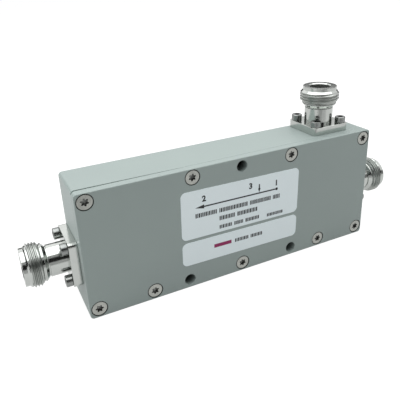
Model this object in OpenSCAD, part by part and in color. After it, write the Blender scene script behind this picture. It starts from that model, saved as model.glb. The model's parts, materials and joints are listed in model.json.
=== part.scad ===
// Directional coupler: a closed metal box with three threaded coaxial jacks.
// X runs along the body, from the output end to the input end. Y runs from the lid at the front to the back.
// Z is up. The body stands on its lower edge, with the origin under its middle.

/* [Body] */
// Length of the body between its end faces
body_length = 125; // [118:0.5:150]
// Height of the body
body_height = 48.8; // [47:0.1:60]
// Depth of the housing, from its back to the lid
housing_depth = 19.75; // [19:0.25:24]
// Thickness of the lid
lid_thickness = 3.25; // [2.5:0.25:4.5]
// Corner radius of the body, seen from the front
corner_radius = 1.4; // [1.2:0.1:3.2]
// Break on the outer edges of the lid's front and the housing's back
outer_edge_break = 0.5; // [0.2:0.1:1]
// Break on the two edges that meet where the lid joins the housing
joint_edge_break = 0.2; // [0.1:0.05:0.3]
// Thickness of the housing's upper and lower walls
side_wall = 7.5; // [7:0.25:9]
// Thickness of the housing's two end walls
end_wall = 7; // [6.5:0.25:9]
// Thickness of the housing's back wall
back_wall = 3; // [2.75:0.25:3.75]
// Corner radius of the milled pocket
pocket_radius = 3; // [1.5:0.5:4]

/* [Lid fasteners and mounting holes] */
// Distance of the corner screws from the end faces
corner_screw_inset = 3.5; // [3.3:0.1:4]
// Distance of the upper row of screws and its hole from the top
upper_row_inset = 3.3; // [3.2:0.1:4]
// Distance of the lower row of screws and its holes from the bottom
lower_row_inset = 3.6; // [3.2:0.1:4]
// Spacing of the three middle screws in the lower row
lower_screw_pitch = 37.8; // [34:0.2:42]
// Distance between the two middle screws in the upper row
upper_screw_span = 42.9; // [30:0.1:50]
// How far the middle of those two lies towards the input end
upper_screw_shift = 1; // [0:0.1:2]
// Thread diameter of a lid screw
lid_screw_d = 3; // [2.5:0.1:3.2]
// Head diameter of a lid screw
lid_screw_head_d = 5.4; // [5:0.1:5.6]
// Length of a lid screw below the top of its head
lid_screw_length = 9; // [7:0.5:12]
// Height of the straight rim of a lid screw's head
lid_screw_rim = 0.45; // [0.2:0.05:0.6]
// Depth of a lid screw's head below the face of the lid
lid_screw_sink = 0.1; // [0:0.05:0.3]
// Diameter of the clearance hole for a lid screw
lid_hole_d = 3.4; // [3.3:0.1:3.8]
// Diameter of the round recess about a lid screw's head
head_recess_d = 6.1; // [5.8:0.1:6.3]
// Diameter of the six-lobe recess over its lobes
lobe_recess_d = 3; // [2.6:0.1:3.2]
// Diameter of the six-lobe recess between its lobes
lobe_root_d = 2; // [1.8:0.1:2.2]
// Radius of each lobe
lobe_radius = 0.4; // [0.3:0.05:0.5]
// Depth of the six-lobe recess
lobe_recess_depth = 1.3; // [0.6:0.1:1.4]
// Diameter of the three holes that go right through the body
mount_hole_d = 4.5; // [3.5:0.1:5]
// Distance between the two lower through holes
mount_hole_span = 46.8; // [44:0.2:56]

/* [Labels] */
// Width of both labels
label_width = 51.8; // [40:0.2:60]
// Height of the upper label
upper_label_height = 19.4; // [15:0.2:22]
// Height of the lower label
lower_label_height = 9.7; // [6:0.1:12]
// Gap between the labels
label_gap = 1.3; // [0.5:0.1:2]
// Height of the lower label's lower edge
label_base = 9.45; // [8.5:0.05:11]
// Corner radius of the labels
label_radius = 2; // [0.5:0.1:3]
// Thickness of the film
label_film = 0.15; // [0.1:0.05:0.3]
// Turn of the labels, clockwise from the front
label_tilt = 1; // [0:0.1:2]

/* [Ports] */
// Distance of the input and output axis below the top
port_drop = 28.5; // [27:0.1:30]
// Distance of all three port axes from the back
port_from_back = 9.6; // [9.4:0.1:10.4]
// Distance of the coupled port from the input end
coupled_port_inset = 16.8; // [14.5:0.1:20]

/* [Connectors] */
// Side of the square flange
flange_side = 17.5; // [17:0.1:18.5]
// Thickness of the flange
flange_thickness = 3.2; // [2:0.1:4]
// Corner radius of the flange
flange_radius = 1.6; // [0.8:0.1:2]
// Break on the flange's front and back edges
flange_edge_break = 0.25; // [0.1:0.05:0.4]
// Distance from the housing to the front of the connector
connector_reach = 18.4; // [17:0.1:22]
// Diameter of the plain barrel
barrel_d = 11.6; // [10.5:0.1:12.6]
// Diameter of the neck groove at the end of the barrel
neck_d = 10.8; // [10:0.1:11.4]
// Width of the neck groove
neck_width = 0.45; // [0.3:0.05:0.8]
// Diameter of the ring behind the thread
ring_d = 13.8; // [13:0.1:14.4]
// Width of the ring, with its sloping back
ring_width = 1.5; // [1.2:0.1:2]
// Length of the ring's sloping back
ring_slope = 1.1; // [0.4:0.1:1.3]
// Diameter of the relief between the ring and the thread
relief_d = 13.2; // [12.4:0.1:13.6]
// Width of the relief
relief_width = 0.35; // [0.2:0.05:0.6]
// Length of the slope from the relief up to the thread
runout_length = 0.9; // [0.6:0.1:1.2]
// Outside diameter of the coupling thread
thread_d = 15.875; // [15.7:0.005:16.1]
// Length of the full thread
thread_length = 3.15; // [2.5:0.05:4.5]
// Length of the cone between the thread and the nose
lead_length = 1.1; // [0.8:0.1:2]
// Diameter of the plain nose
nose_d = 13.7; // [13:0.1:14.2]
// Length of the plain nose
nose_length = 1.4; // [0.8:0.05:2.2]
// Break on the nose's outer edge
nose_break = 0.2; // [0.1:0.05:0.4]
// Diameter of the socket inside the nose
socket_d = 8.6; // [8.4:0.1:9.2]
// Widening of the socket at its mouth
mouth_break = 0.4; // [0.2:0.1:0.8]
// Depth of the socket, down to the insulator
socket_depth = 9.2; // [8.8:0.1:9.6]

/* [Connector fasteners] */
// Side of the square of flange screws
flange_screw_spacing = 12.7; // [12.4:0.1:13]
// Thread diameter of a flange screw
flange_screw_d = 2.5; // [2:0.1:2.6]
// Length of a flange screw under its head
flange_screw_length = 8; // [6:0.25:9]
// Diameter of a flange screw's head
flange_screw_head_d = 4.3; // [4:0.1:4.6]
// Height of a flange screw's head
flange_screw_head_height = 2.4; // [2:0.1:3]
// Break on the head's upper edge
flange_screw_head_break = 0.25; // [0.1:0.05:0.5]
// Width of the hexagon recess across its flats
hex_recess_width = 2; // [1.5:0.1:2.4]
// Depth of the hexagon recess
hex_recess_depth = 1.2; // [0.8:0.1:1.5]
// Diameter of the holes in the flange
flange_hole_d = 2.8; // [2.7:0.1:3.1]

/* [Insulators and contacts] */
// Diameter of the insulator
insulator_d = 7; // [6.4:0.1:7.6]
// Diameter of the collar that keeps the insulator behind the flange
collar_d = 9; // [8.4:0.1:9.6]
// Height of the collar
collar_height = 1.2; // [0.8:0.1:1.6]
// Outside diameter of the socket contact
contact_d = 3.04; // [2.9:0.02:3.2]
// Depth of the contact's tip below the front of the connector
contact_tip_depth = 4.3; // [4.1:0.1:4.8]
// Diameter of the hole in the contact
contact_bore_d = 1.66; // [1.6:0.02:1.8]
// Depth of the hole in the contact
contact_bore_depth = 4.6; // [4:0.1:4.8]
// Width of the four slots in the contact
contact_slot_width = 0.3; // [0.2:0.05:0.4]
// Length of the slots
contact_slot_length = 3.6; // [3:0.1:4]
// Diameter of the contact's stem
stem_d = 2.1; // [1.8:0.1:2.4]
// Length of the stem held in a line
stem_grip = 3; // [2:0.25:3.5]

/* [Lines] */
// Height of the main line
main_line_height = 8; // [6:0.25:9]
// Depth of the main line
main_line_depth = 8; // [6:0.25:9]
// Corner radius of the main line
main_line_radius = 1; // [0.5:0.1:1.5]
// Gap between each end of the main line and the end wall
line_end_gap = 1.5; // [1:0.25:3]
// Height of the coupled line
coupled_line_height = 4; // [3.75:0.25:5]
// Depth of the coupled line
coupled_line_depth = 5; // [4:0.25:6]
// Length of the coupled line past each of its two connections
coupled_line_end = 3; // [2.5:0.25:4]
// Length of the coupled line's middle section
middle_section_length = 30.5; // [24:0.5:36]
// Length of the slope between the sections
section_slope = 3.5; // [2:0.25:5]
// Gap between the lines in the middle section
middle_gap = 3; // [2:0.25:4]
// Gap between the coupled line's outer sections and the roof of the pocket
roof_gap = 6.5; // [5:0.25:7.5]

/* [Line supports] */
// Distance of each support from the middle of the body
support_offset = 31; // [27:0.5:36]
// Width of a support
support_width = 5; // [3:0.25:7]
// Material of a support above and below the lines
support_margin = 2.5; // [1.5:0.25:3.5]
// Depth of the slot in the back wall that holds a support
support_seat = 1; // [0.5:0.25:1.5]

/* [Load] */
// Length of the load's flange
load_flange_length = 13; // [12.5:0.25:13.5]
// Width of the load's flange
load_flange_width = 5; // [4.5:0.25:7]
// Thickness of the load's flange
load_flange_thickness = 1.6; // [1:0.1:1.8]
// Side of the resistor chip
load_chip_side = 4; // [3:0.25:4.5]
// Thickness of the resistor chip
load_chip_thickness = 1; // [0.6:0.1:1.2]
// Width of the lead
lead_width = 1.4; // [0.8:0.1:2]
// Thickness of the lead
lead_thickness = 0.25; // [0.15:0.05:0.3]
// Length of the lead's foot on the chip and of its tab on the line
lead_foot = 1.7; // [1:0.1:2]
// Distance between the load's screws
load_screw_span = 9.2; // [8.8:0.1:9.6]
// Thread diameter of a load screw
load_screw_d = 2; // [1.6:0.1:2.2]
// Length of a load screw under its head
load_screw_length = 3.4; // [3.2:0.1:3.6]
// Head diameter of a load screw
load_screw_head_d = 3.6; // [3.2:0.1:3.8]
// Head height of a load screw
load_screw_head_height = 1.3; // [1:0.1:1.5]
// Diameter of the holes in the load's flange
load_hole_d = 2.3; // [2.2:0.1:2.5]

/* [Fits] */
// Clearance on each side of a piece in its hole or seat
fit_clearance = 0.05; // [0.02:0.01:0.1]
// Depth of a tapped hole past the end of its screw
tap_margin = 0.5; // [0.25:0.05:0.75]

/* [Hidden] */
$fn = 64;

paint = "#8d9994";
plated = "#d2d2cc";
steel = "#b4b1aa";
film = "#c3cdce";
silver_plate = "#d8d6cf";
white_plastic = "#f1f1ec";
gold = "#caa64f";
alumina = "#ece9e2";

// How far a cutting shape runs past the face that it cuts
overcut = 1;

// Depths of the body, from the front to the back
body_depth = housing_depth + lid_thickness;
front_y = -body_depth / 2;
joint_y = front_y + lid_thickness;
back_y = body_depth / 2;
pocket_floor_y = back_y - back_wall;
port_y = back_y - port_from_back;
port_height = body_height - port_drop;
coupled_port_offset = body_length / 2 - coupled_port_inset;
pocket_length = body_length - 2 * end_wall;
pocket_height = body_height - 2 * side_wall;

// Places of the fasteners and holes on the lid, as X and Z
corner_x = body_length / 2 - corner_screw_inset;
upper_row_z = body_height - upper_row_inset;
lower_row_z = lower_row_inset;
lid_screw_places = [
    for (x = [-corner_x, corner_x], z = [lower_row_z, upper_row_z]) [x, z],
    for (x = [-lower_screw_pitch, 0, lower_screw_pitch]) [x, lower_row_z],
    for (side = [-1, 1]) [upper_screw_shift + side * upper_screw_span / 2, upper_row_z]
];
mount_hole_places = [
    [0, upper_row_z], [-mount_hole_span / 2, lower_row_z], [mount_hole_span / 2, lower_row_z]
];
screw_seat = lid_screw_sink + lid_screw_rim;
lid_tap_depth = lid_screw_length + lid_screw_sink - lid_thickness + tap_margin;

// Heights of the two labels
lower_label_z = label_base + lower_label_height / 2;
upper_label_z = label_base + lower_label_height + label_gap + upper_label_height / 2;
label_pivot_z = (lower_label_z + upper_label_z) / 2;

// Stations along a connector, from the housing to its front
nose_base = connector_reach - nose_length;
thread_top = nose_base - lead_length;
thread_base = thread_top - thread_length;
relief_top = thread_base - runout_length;
ring_top = relief_top - relief_width;
ring_base = ring_top - ring_width;
neck_base = ring_base - neck_width;
socket_floor = connector_reach - socket_depth;
contact_tip = connector_reach - contact_tip_depth;
flange_tap_depth = flange_screw_length - flange_thickness + tap_margin;

// Levels and lengths of the two lines
main_line_length = pocket_length - 2 * line_end_gap;
main_line_top = port_height + main_line_height / 2;
middle_line_z = main_line_top + middle_gap + coupled_line_height / 2;
coupled_line_top = body_height - side_wall - roof_gap;
outer_line_z = coupled_line_top - coupled_line_height / 2;
coupled_line_back_y = port_y + coupled_line_depth / 2;
main_stem_reach = end_wall + line_end_gap + stem_grip;
coupled_stem_reach = side_wall + roof_gap + stem_grip;

// Span of a support and places of the load
support_base_z = port_height - main_line_height / 2 - support_margin;
support_top_z = coupled_line_top + support_margin;
load_flange_y = pocket_floor_y - load_flange_thickness;
load_chip_y = load_flange_y - load_chip_thickness;
load_tap_depth = load_screw_length - load_flange_thickness + tap_margin;

// An outline with round corners, centred
module round_outline(width, height, radius) {
    square([width - 2 * radius, height], center = true);
    square([width, height - 2 * radius], center = true);
    for (x = [-1, 1], y = [-1, 1])
        translate([x * (width / 2 - radius), y * (height / 2 - radius)]) circle(radius);
}

// The section of a plate whose edges are broken on its near and far faces
function broken_section(width, depth, near, far) = [
    [near - width / 2, 0], [width / 2 - near, 0], [width / 2, near], [width / 2, depth - far],
    [width / 2 - far, depth], [far - width / 2, depth], [-width / 2, depth - far], [-width / 2, near]
];

// A plate with round corners and broken edges, centred, from Z = 0 up
module broken_plate(width, height, depth, radius, near, far) {
    rotate([90, 0, 90])
        linear_extrude(width - 2 * radius, center = true)
            polygon(broken_section(height, depth, near, far));
    rotate([90, 0, 0])
        linear_extrude(height - 2 * radius, center = true)
            polygon(broken_section(width, depth, near, far));
    for (x = [-1, 1], y = [-1, 1])
        translate([x * (width / 2 - radius), y * (height / 2 - radius), 0])
            rotate_extrude()
                polygon([
                    [0, 0], [radius - near, 0], [radius, near],
                    [radius, depth - far], [radius - far, depth], [0, depth]
                ]);
}

// A flat shape drawn in X and Z, given a thickness from one depth towards the back
module slab(y, thickness) {
    translate([0, y + thickness, 0]) rotate([90, 0, 0]) linear_extrude(thickness) children();
}

// A round piece or hole that runs towards the back from one point
module rod_back(x, y, z, length, diameter) {
    translate([x, y, z]) rotate([-90, 0, 0]) cylinder(h = length, d = diameter);
}

// Each port's own frame: Z = 0 on the housing, pointing out of the port
module at_output() {
    translate([-body_length / 2, port_y, port_height]) rotate([0, -90, 0]) children();
}
module at_input() {
    translate([body_length / 2, port_y, port_height]) rotate([0, 90, 0]) children();
}
module at_coupled() {
    translate([coupled_port_offset, port_y, body_height]) children();
}

// The four corners of a flange's screw square
module at_flange_screws() {
    for (x = [-1, 1], y = [-1, 1])
        translate([x * flange_screw_spacing / 2, y * flange_screw_spacing / 2, 0]) children();
}

// What a port takes out of a wall: the insulator's hole and four tapped holes
module port_cuts(wall) {
    translate([0, 0, -wall - overcut]) cylinder(h = wall + 2 * overcut, d = insulator_d);
    at_flange_screws()
        translate([0, 0, -flange_tap_depth])
            cylinder(h = flange_tap_depth + overcut, d = flange_screw_d + 2 * fit_clearance);
}

// The three holes that go right through the body
module mount_holes() {
    for (place = mount_hole_places)
        rod_back(place[0], front_y - overcut, place[1], body_depth + 2 * overcut, mount_hole_d);
}

module housing() {
    color(paint)
    difference() {
        translate([0, joint_y, body_height / 2])
            rotate([-90, 0, 0])
                broken_plate(body_length, body_height, housing_depth, corner_radius,
                             joint_edge_break, outer_edge_break);
        translate([0, 0, body_height / 2])
            slab(joint_y - overcut, pocket_floor_y - joint_y + overcut)
                round_outline(pocket_length, pocket_height, pocket_radius);
        at_output() port_cuts(end_wall);
        at_input() port_cuts(end_wall);
        at_coupled() port_cuts(side_wall);
        for (place = lid_screw_places)
            rod_back(place[0], joint_y - overcut, place[1], lid_tap_depth + overcut,
                     lid_screw_d + 2 * fit_clearance);
        mount_holes();
        for (side = [-1, 1])
            translate([side * support_offset, 0, 0]) support_slot();
        for (side = [-1, 1])
            rod_back(-coupled_port_offset, pocket_floor_y - overcut,
                     outer_line_z + side * load_screw_span / 2, load_tap_depth + overcut,
                     load_screw_d + 2 * fit_clearance);
    }
}

// The slot in the back wall that a support stands in
module support_slot() {
    width = support_width + 2 * fit_clearance;
    translate([-width / 2, pocket_floor_y - overcut, support_base_z - fit_clearance])
        cube([width, support_seat + overcut, support_top_z - support_base_z + 2 * fit_clearance]);
}

module lid() {
    color(paint)
    difference() {
        translate([0, front_y, body_height / 2])
            rotate([-90, 0, 0])
                broken_plate(body_length, body_height, lid_thickness, corner_radius,
                             outer_edge_break, joint_edge_break);
        for (place = lid_screw_places)
            translate([place[0], front_y, place[1]]) rotate([-90, 0, 0]) screw_hole();
        mount_holes();
    }
}

// A clearance hole with a round recess for the head's rim and a right-angled countersink, from Z = 0 up
module screw_hole() {
    slope = (lid_screw_head_d - lid_hole_d) / 2;
    translate([0, 0, -overcut]) {
        cylinder(h = lid_thickness + 2 * overcut, d = lid_hole_d);
        cylinder(h = screw_seat + overcut, d = head_recess_d);
    }
    translate([0, 0, screw_seat]) cylinder(h = slope, d1 = lid_screw_head_d, d2 = lid_hole_d);
}

// The outline of a six-lobe recess
module lobe_outline() {
    circle(d = lobe_root_d);
    for (turn = [0:60:300])
        rotate(turn) translate([lobe_recess_d / 2 - lobe_radius, 0]) circle(lobe_radius);
}

// A countersunk screw whose head's top is at Z = 0, pointing up
module lid_screw() {
    head_slope = (lid_screw_head_d - lid_screw_d) / 2;
    difference() {
        union() {
            cylinder(h = lid_screw_rim, d = lid_screw_head_d);
            translate([0, 0, lid_screw_rim])
                cylinder(h = head_slope, d1 = lid_screw_head_d, d2 = lid_screw_d);
            cylinder(h = lid_screw_length, d = lid_screw_d);
        }
        translate([0, 0, -overcut]) linear_extrude(lobe_recess_depth + overcut) lobe_outline();
    }
}

module lid_screws() {
    color(steel)
    for (place = lid_screw_places)
        translate([place[0], front_y + lid_screw_sink, place[1]]) rotate([-90, 0, 0]) lid_screw();
}

// A label's film at its height, turned with the other label about their middle
module label(height, z) {
    color(film)
    translate([0, 0, label_pivot_z])
        slab(front_y - label_film, label_film)
            rotate(-label_tilt)
                translate([0, z - label_pivot_z]) round_outline(label_width, height, label_radius);
}

module upper_label() {
    label(upper_label_height, upper_label_z);
}

module lower_label() {
    label(lower_label_height, lower_label_z);
}

// A jack's metal body: a square flange and a turned barrel, ring, thread and nose
module connector_body() {
    color(plated)
    difference() {
        union() {
            broken_plate(flange_side, flange_side, flange_thickness, flange_radius,
                         flange_edge_break, flange_edge_break);
            rotate_extrude()
                polygon([
                    [0, 0], [barrel_d / 2, 0], [barrel_d / 2, neck_base],
                    [neck_d / 2, neck_base], [neck_d / 2, ring_base], [barrel_d / 2, ring_base],
                    [ring_d / 2, ring_base + ring_slope], [ring_d / 2, ring_top],
                    [relief_d / 2, ring_top], [relief_d / 2, relief_top],
                    [thread_d / 2, thread_base], [thread_d / 2, thread_top],
                    [nose_d / 2, nose_base], [nose_d / 2, connector_reach - nose_break],
                    [nose_d / 2 - nose_break, connector_reach], [0, connector_reach]
                ]);
        }
        translate([0, 0, -overcut]) cylinder(h = connector_reach, d = insulator_d);
        translate([0, 0, -overcut]) cylinder(h = collar_height + overcut, d = collar_d);
        translate([0, 0, socket_floor]) cylinder(h = socket_depth + overcut, d = socket_d);
        translate([0, 0, connector_reach - mouth_break])
            cylinder(h = mouth_break + overcut, r1 = socket_d / 2,
                     r2 = socket_d / 2 + mouth_break + overcut);
        at_flange_screws()
            translate([0, 0, -overcut]) cylinder(h = flange_thickness + 2 * overcut, d = flange_hole_d);
    }
}

// The insulator of a jack, from the inside of a wall to the floor of the socket
module insulator(wall) {
    color(white_plastic)
    difference() {
        union() {
            translate([0, 0, -wall])
                cylinder(h = wall + socket_floor, d = insulator_d - 2 * fit_clearance);
            cylinder(h = collar_height - fit_clearance, d = collar_d - 2 * fit_clearance);
        }
        translate([0, 0, -wall - overcut])
            cylinder(h = wall + socket_floor + 2 * overcut, d = stem_d + 2 * fit_clearance);
    }
}

// The centre contact of a jack: a slotted socket on a stem that reaches into a line
module contact(stem_reach) {
    color(silver_plate)
    difference() {
        rotate_extrude()
            polygon([
                [0, -stem_reach], [stem_d / 2, -stem_reach], [stem_d / 2, socket_floor],
                [contact_d / 2, socket_floor], [contact_d / 2, contact_tip], [0, contact_tip]
            ]);
        translate([0, 0, contact_tip - contact_bore_depth])
            cylinder(h = contact_bore_depth + overcut, d = contact_bore_d);
        for (turn = [0, 90])
            rotate(turn)
                translate([0, 0, contact_tip - contact_slot_length / 2 + overcut / 2])
                    cube([contact_d + 2 * overcut, contact_slot_width, contact_slot_length + overcut],
                         center = true);
    }
}

// A socket head cap screw that points down, with the seat of its head at Z = 0
module cap_screw() {
    difference() {
        union() {
            translate([0, 0, -flange_screw_length])
                cylinder(h = flange_screw_length + flange_screw_head_height / 2, d = flange_screw_d);
            rotate_extrude()
                polygon([
                    [0, 0], [flange_screw_head_d / 2, 0],
                    [flange_screw_head_d / 2, flange_screw_head_height - flange_screw_head_break],
                    [flange_screw_head_d / 2 - flange_screw_head_break, flange_screw_head_height],
                    [0, flange_screw_head_height]
                ]);
        }
        translate([0, 0, flange_screw_head_height - hex_recess_depth])
            cylinder(h = hex_recess_depth + overcut, d = hex_recess_width / cos(30), $fn = 6);
    }
}

module flange_screws() {
    color(steel)
    at_flange_screws() translate([0, 0, flange_thickness]) cap_screw();
}

module output_connector_body() {
    at_output() connector_body();
}
module output_insulator() {
    at_output() insulator(end_wall);
}
module output_contact() {
    at_output() contact(main_stem_reach);
}
module output_flange_screws() {
    at_output() flange_screws();
}
module input_connector_body() {
    at_input() connector_body();
}
module input_insulator() {
    at_input() insulator(end_wall);
}
module input_contact() {
    at_input() contact(main_stem_reach);
}
module input_flange_screws() {
    at_input() flange_screws();
}
module coupled_connector_body() {
    at_coupled() connector_body();
}
module coupled_insulator() {
    at_coupled() insulator(side_wall);
}
module coupled_contact() {
    at_coupled() contact(coupled_stem_reach);
}
module coupled_flange_screws() {
    at_coupled() flange_screws();
}

// The bar between the input and output contacts, bored at both ends for their stems
module main_line() {
    color(silver_plate)
    translate([0, port_y, port_height])
        difference() {
            rotate([90, 0, 90])
                linear_extrude(main_line_length, center = true)
                    round_outline(main_line_depth, main_line_height, main_line_radius);
            for (side = [-1, 1])
                translate([side * main_line_length / 2, 0, 0])
                    rotate([0, 90, 0])
                        cylinder(h = 2 * (stem_grip + fit_clearance), d = stem_d + 2 * fit_clearance,
                                 center = true);
        }
}

// The coupled line's edge, as X and Z, for its lower or its upper side
function coupled_edge(rise) = [
    [-coupled_port_offset - coupled_line_end, outer_line_z + rise],
    [-middle_section_length / 2 - section_slope, outer_line_z + rise],
    [-middle_section_length / 2, middle_line_z + rise],
    [middle_section_length / 2, middle_line_z + rise],
    [middle_section_length / 2 + section_slope, outer_line_z + rise],
    [coupled_port_offset + coupled_line_end, outer_line_z + rise]
];

// The bar that runs beside the main line, closest in its middle section
module coupled_line() {
    upper_edge = coupled_edge(coupled_line_height / 2);
    color(silver_plate)
    difference() {
        slab(port_y - coupled_line_depth / 2, coupled_line_depth)
            polygon([
                each coupled_edge(-coupled_line_height / 2),
                for (i = [len(upper_edge) - 1:-1:0]) upper_edge[i]
            ]);
        translate([coupled_port_offset, port_y, coupled_line_top - stem_grip - fit_clearance])
            cylinder(h = stem_grip + overcut, d = stem_d + 2 * fit_clearance);
    }
}

// A support that stands in its slot and holds the back of both lines in its two notches
module line_support() {
    color(white_plastic)
    difference() {
        translate([-support_width / 2, port_y, support_base_z])
            cube([support_width, pocket_floor_y + support_seat - port_y - fit_clearance,
                  support_top_z - support_base_z]);
        line_notch(port_height, main_line_height, main_line_depth);
        line_notch(outer_line_z, coupled_line_height, coupled_line_depth);
    }
}

// The notch in a support for one line
module line_notch(z, height, depth) {
    translate([-support_width / 2 - overcut, port_y - overcut, z - height / 2 - fit_clearance])
        cube([support_width + 2 * overcut, depth / 2 + overcut + fit_clearance,
              height + 2 * fit_clearance]);
}

module left_line_support() {
    translate([-support_offset, 0, 0]) line_support();
}
module right_line_support() {
    translate([support_offset, 0, 0]) line_support();
}

// The load's flange on the back wall
module load_flange() {
    color(plated)
    translate([-coupled_port_offset, 0, outer_line_z])
        difference() {
            slab(load_flange_y, load_flange_thickness)
                square([load_flange_width, load_flange_length], center = true);
            for (side = [-1, 1])
                rod_back(0, load_flange_y - overcut, side * load_screw_span / 2,
                         load_flange_thickness + 2 * overcut, load_hole_d);
        }
}

module load_chip() {
    color(alumina)
    translate([-coupled_port_offset, 0, outer_line_z])
        slab(load_chip_y, load_chip_thickness) square(load_chip_side, center = true);
}

// The folded strip from the chip to the back of the coupled line
module load_lead() {
    color(gold)
    translate([-coupled_port_offset, 0, outer_line_z])
        linear_extrude(lead_width, center = true)
            polygon([
                [-lead_foot, load_chip_y], [0, load_chip_y],
                [0, coupled_line_back_y + lead_thickness],
                [lead_foot, coupled_line_back_y + lead_thickness],
                [lead_foot, coupled_line_back_y], [-lead_thickness, coupled_line_back_y],
                [-lead_thickness, load_chip_y - lead_thickness],
                [-lead_foot, load_chip_y - lead_thickness]
            ]);
}

module load_screws() {
    color(steel)
    for (side = [-1, 1])
        translate([-coupled_port_offset, 0, outer_line_z + side * load_screw_span / 2]) {
            rod_back(0, load_flange_y - load_screw_head_height, 0, load_screw_head_height,
                     load_screw_head_d);
            rod_back(0, load_flange_y - load_screw_head_height, 0,
                     load_screw_head_height + load_screw_length, load_screw_d);
        }
}

housing();
lid();
lid_screws();
upper_label();
lower_label();
output_connector_body();
output_insulator();
output_contact();
output_flange_screws();
input_connector_body();
input_insulator();
input_contact();
input_flange_screws();
coupled_connector_body();
coupled_insulator();
coupled_contact();
coupled_flange_screws();
main_line();
coupled_line();
left_line_support();
right_line_support();
load_flange();
load_chip();
load_lead();
load_screws();
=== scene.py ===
import json
import math

import bmesh
import bpy
from mathutils import Matrix, Quaternion, Vector

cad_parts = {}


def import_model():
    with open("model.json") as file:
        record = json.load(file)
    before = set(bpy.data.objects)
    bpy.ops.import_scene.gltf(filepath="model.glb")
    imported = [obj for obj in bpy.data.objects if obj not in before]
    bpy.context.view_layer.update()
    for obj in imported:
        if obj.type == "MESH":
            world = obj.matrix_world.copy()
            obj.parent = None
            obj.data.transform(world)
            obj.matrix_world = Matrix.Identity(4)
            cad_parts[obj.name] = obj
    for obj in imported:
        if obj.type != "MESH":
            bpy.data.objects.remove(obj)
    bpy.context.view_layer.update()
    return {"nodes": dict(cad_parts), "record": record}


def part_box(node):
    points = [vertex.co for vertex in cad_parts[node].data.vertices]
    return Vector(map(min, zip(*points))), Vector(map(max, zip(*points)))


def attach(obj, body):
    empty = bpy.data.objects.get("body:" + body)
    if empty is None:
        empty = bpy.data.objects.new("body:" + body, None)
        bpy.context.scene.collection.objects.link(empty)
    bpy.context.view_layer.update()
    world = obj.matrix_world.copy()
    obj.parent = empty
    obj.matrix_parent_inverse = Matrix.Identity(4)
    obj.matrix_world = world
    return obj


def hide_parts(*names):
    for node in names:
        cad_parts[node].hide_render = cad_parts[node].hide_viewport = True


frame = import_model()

# Directional coupler: a painted box with two labels and three threaded coaxial jacks.
# Pieces are modelled in millimetres, in the frame of the solids, and scaled to metres when they are done.
MM = 0.001
INCH = 25.4

# Making: how far a cutter runs past a face, what counts as on a face or as one point, and the steps of a turn
overcut = 1.0
face_margin = 0.01
level_margin = 1e-6
point_margin = 1e-4
thread_margin = 1e-3
merge_distance = 0.003
round_steps = 96
small_round_steps = 48

# Fits
fit_clearance = 0.05
tap_margin = 0.5

# Body, measured from the frame
lid_low, lid_high = (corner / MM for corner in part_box("lid"))
body_length = lid_high.x - lid_low.x
body_height = lid_high.z - lid_low.z
front_y = lid_low.y
joint_y = lid_high.y
back_y = (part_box("housing")[1] / MM).y
lid_thickness = joint_y - front_y
housing_depth = back_y - joint_y
mid_z = body_height / 2
corner_radius = 1.4
outer_edge_round = 0.4
joint_edge_round = 0.2
joint_gap_width = 0.7
joint_gap_depth = 1.2
joint_gap_end = -18.0
side_wall = 7.5
end_wall = 7.0
back_wall = 3.0
pocket_floor = back_y - back_wall
pocket_radius = 3.0

# Lid screws: their rows on the lid, their sizes, their six-lobe recess and the turn from one to the next
corner_screw_inset = 3.5
upper_row_drop = 3.3
upper_row_z = body_height - upper_row_drop
lower_row_z = 3.6
lower_screw_pitch = 37.8
upper_screw_span = 42.9
upper_screw_shift = 1.0
lid_screw_d = 3.0
lid_screw_head_d = 5.4
lid_screw_length = 9.0
lid_screw_tip = 0.4
lid_screw_edge_round = 0.1
lid_screw_turn = 0.7
lid_hole_d = 3.4
countersink_d = 6.1
head_recess = 0.1
head_rim = 0.45
counterbore_depth = head_recess + head_rim
lid_tap_depth = lid_screw_length + head_recess - lid_thickness + tap_margin
lobe_count = 6
lobe_steps = 144
lobe_middle_r = 1.24
lobe_swing = 0.26
lobe_recess_depth = 1.3
lobe_recess_point = 0.45
corner_x = body_length / 2 - corner_screw_inset
lid_screw_places = [
    (-corner_x, lower_row_z), (corner_x, lower_row_z), (-corner_x, upper_row_z), (corner_x, upper_row_z),
    (-lower_screw_pitch, lower_row_z), (0, lower_row_z), (lower_screw_pitch, lower_row_z),
    (upper_screw_shift - upper_screw_span / 2, upper_row_z),
    (upper_screw_shift + upper_screw_span / 2, upper_row_z),
]

# Through holes, and how far in from each face their paint colour fades into painted shade
mount_hole_d = 4.5
mount_hole_span = 46.8
shade_fade_depth = 5.5
mount_hole_places = [
    (0, upper_row_z), (-mount_hole_span / 2, lower_row_z), (mount_hole_span / 2, lower_row_z),
]

# Labels
label_width = 51.8
upper_label_height = 19.4
lower_label_height = 9.7
label_gap = 1.3
label_base = 9.45
label_radius = 2.0
label_edge_round = 0.04
label_thickness = 0.15
ink_thickness = 0.02
label_tilt = math.radians(1)
lower_label_z = label_base + lower_label_height / 2
upper_label_z = label_base + lower_label_height + label_gap + upper_label_height / 2
label_pivot_z = (lower_label_z + upper_label_z) / 2

# Port numbers and the middles of their places on the upper label
PORT_NUMBERS = {"2": (-16.6, 35.9), "3": (3.4, 36.5), "1": (15.2, 35.4)}
number_height = 2.2
number_share_of_font = 0.7
number_weight = 0.13

# Arrows of the signal's path
arrow_line = 0.55
signal_arrow_z = 32.85
signal_arrow_tip = -20.2
signal_arrow_tail = 15.4
signal_head_length = 3.6
signal_head_half = 0.8
signal_dot_r = 0.6
signal_dot_steps = 24
coupled_arrow_x = 7.3
coupled_arrow_top = 36.6
coupled_head_length = 1.7
coupled_head_half = 0.6

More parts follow.
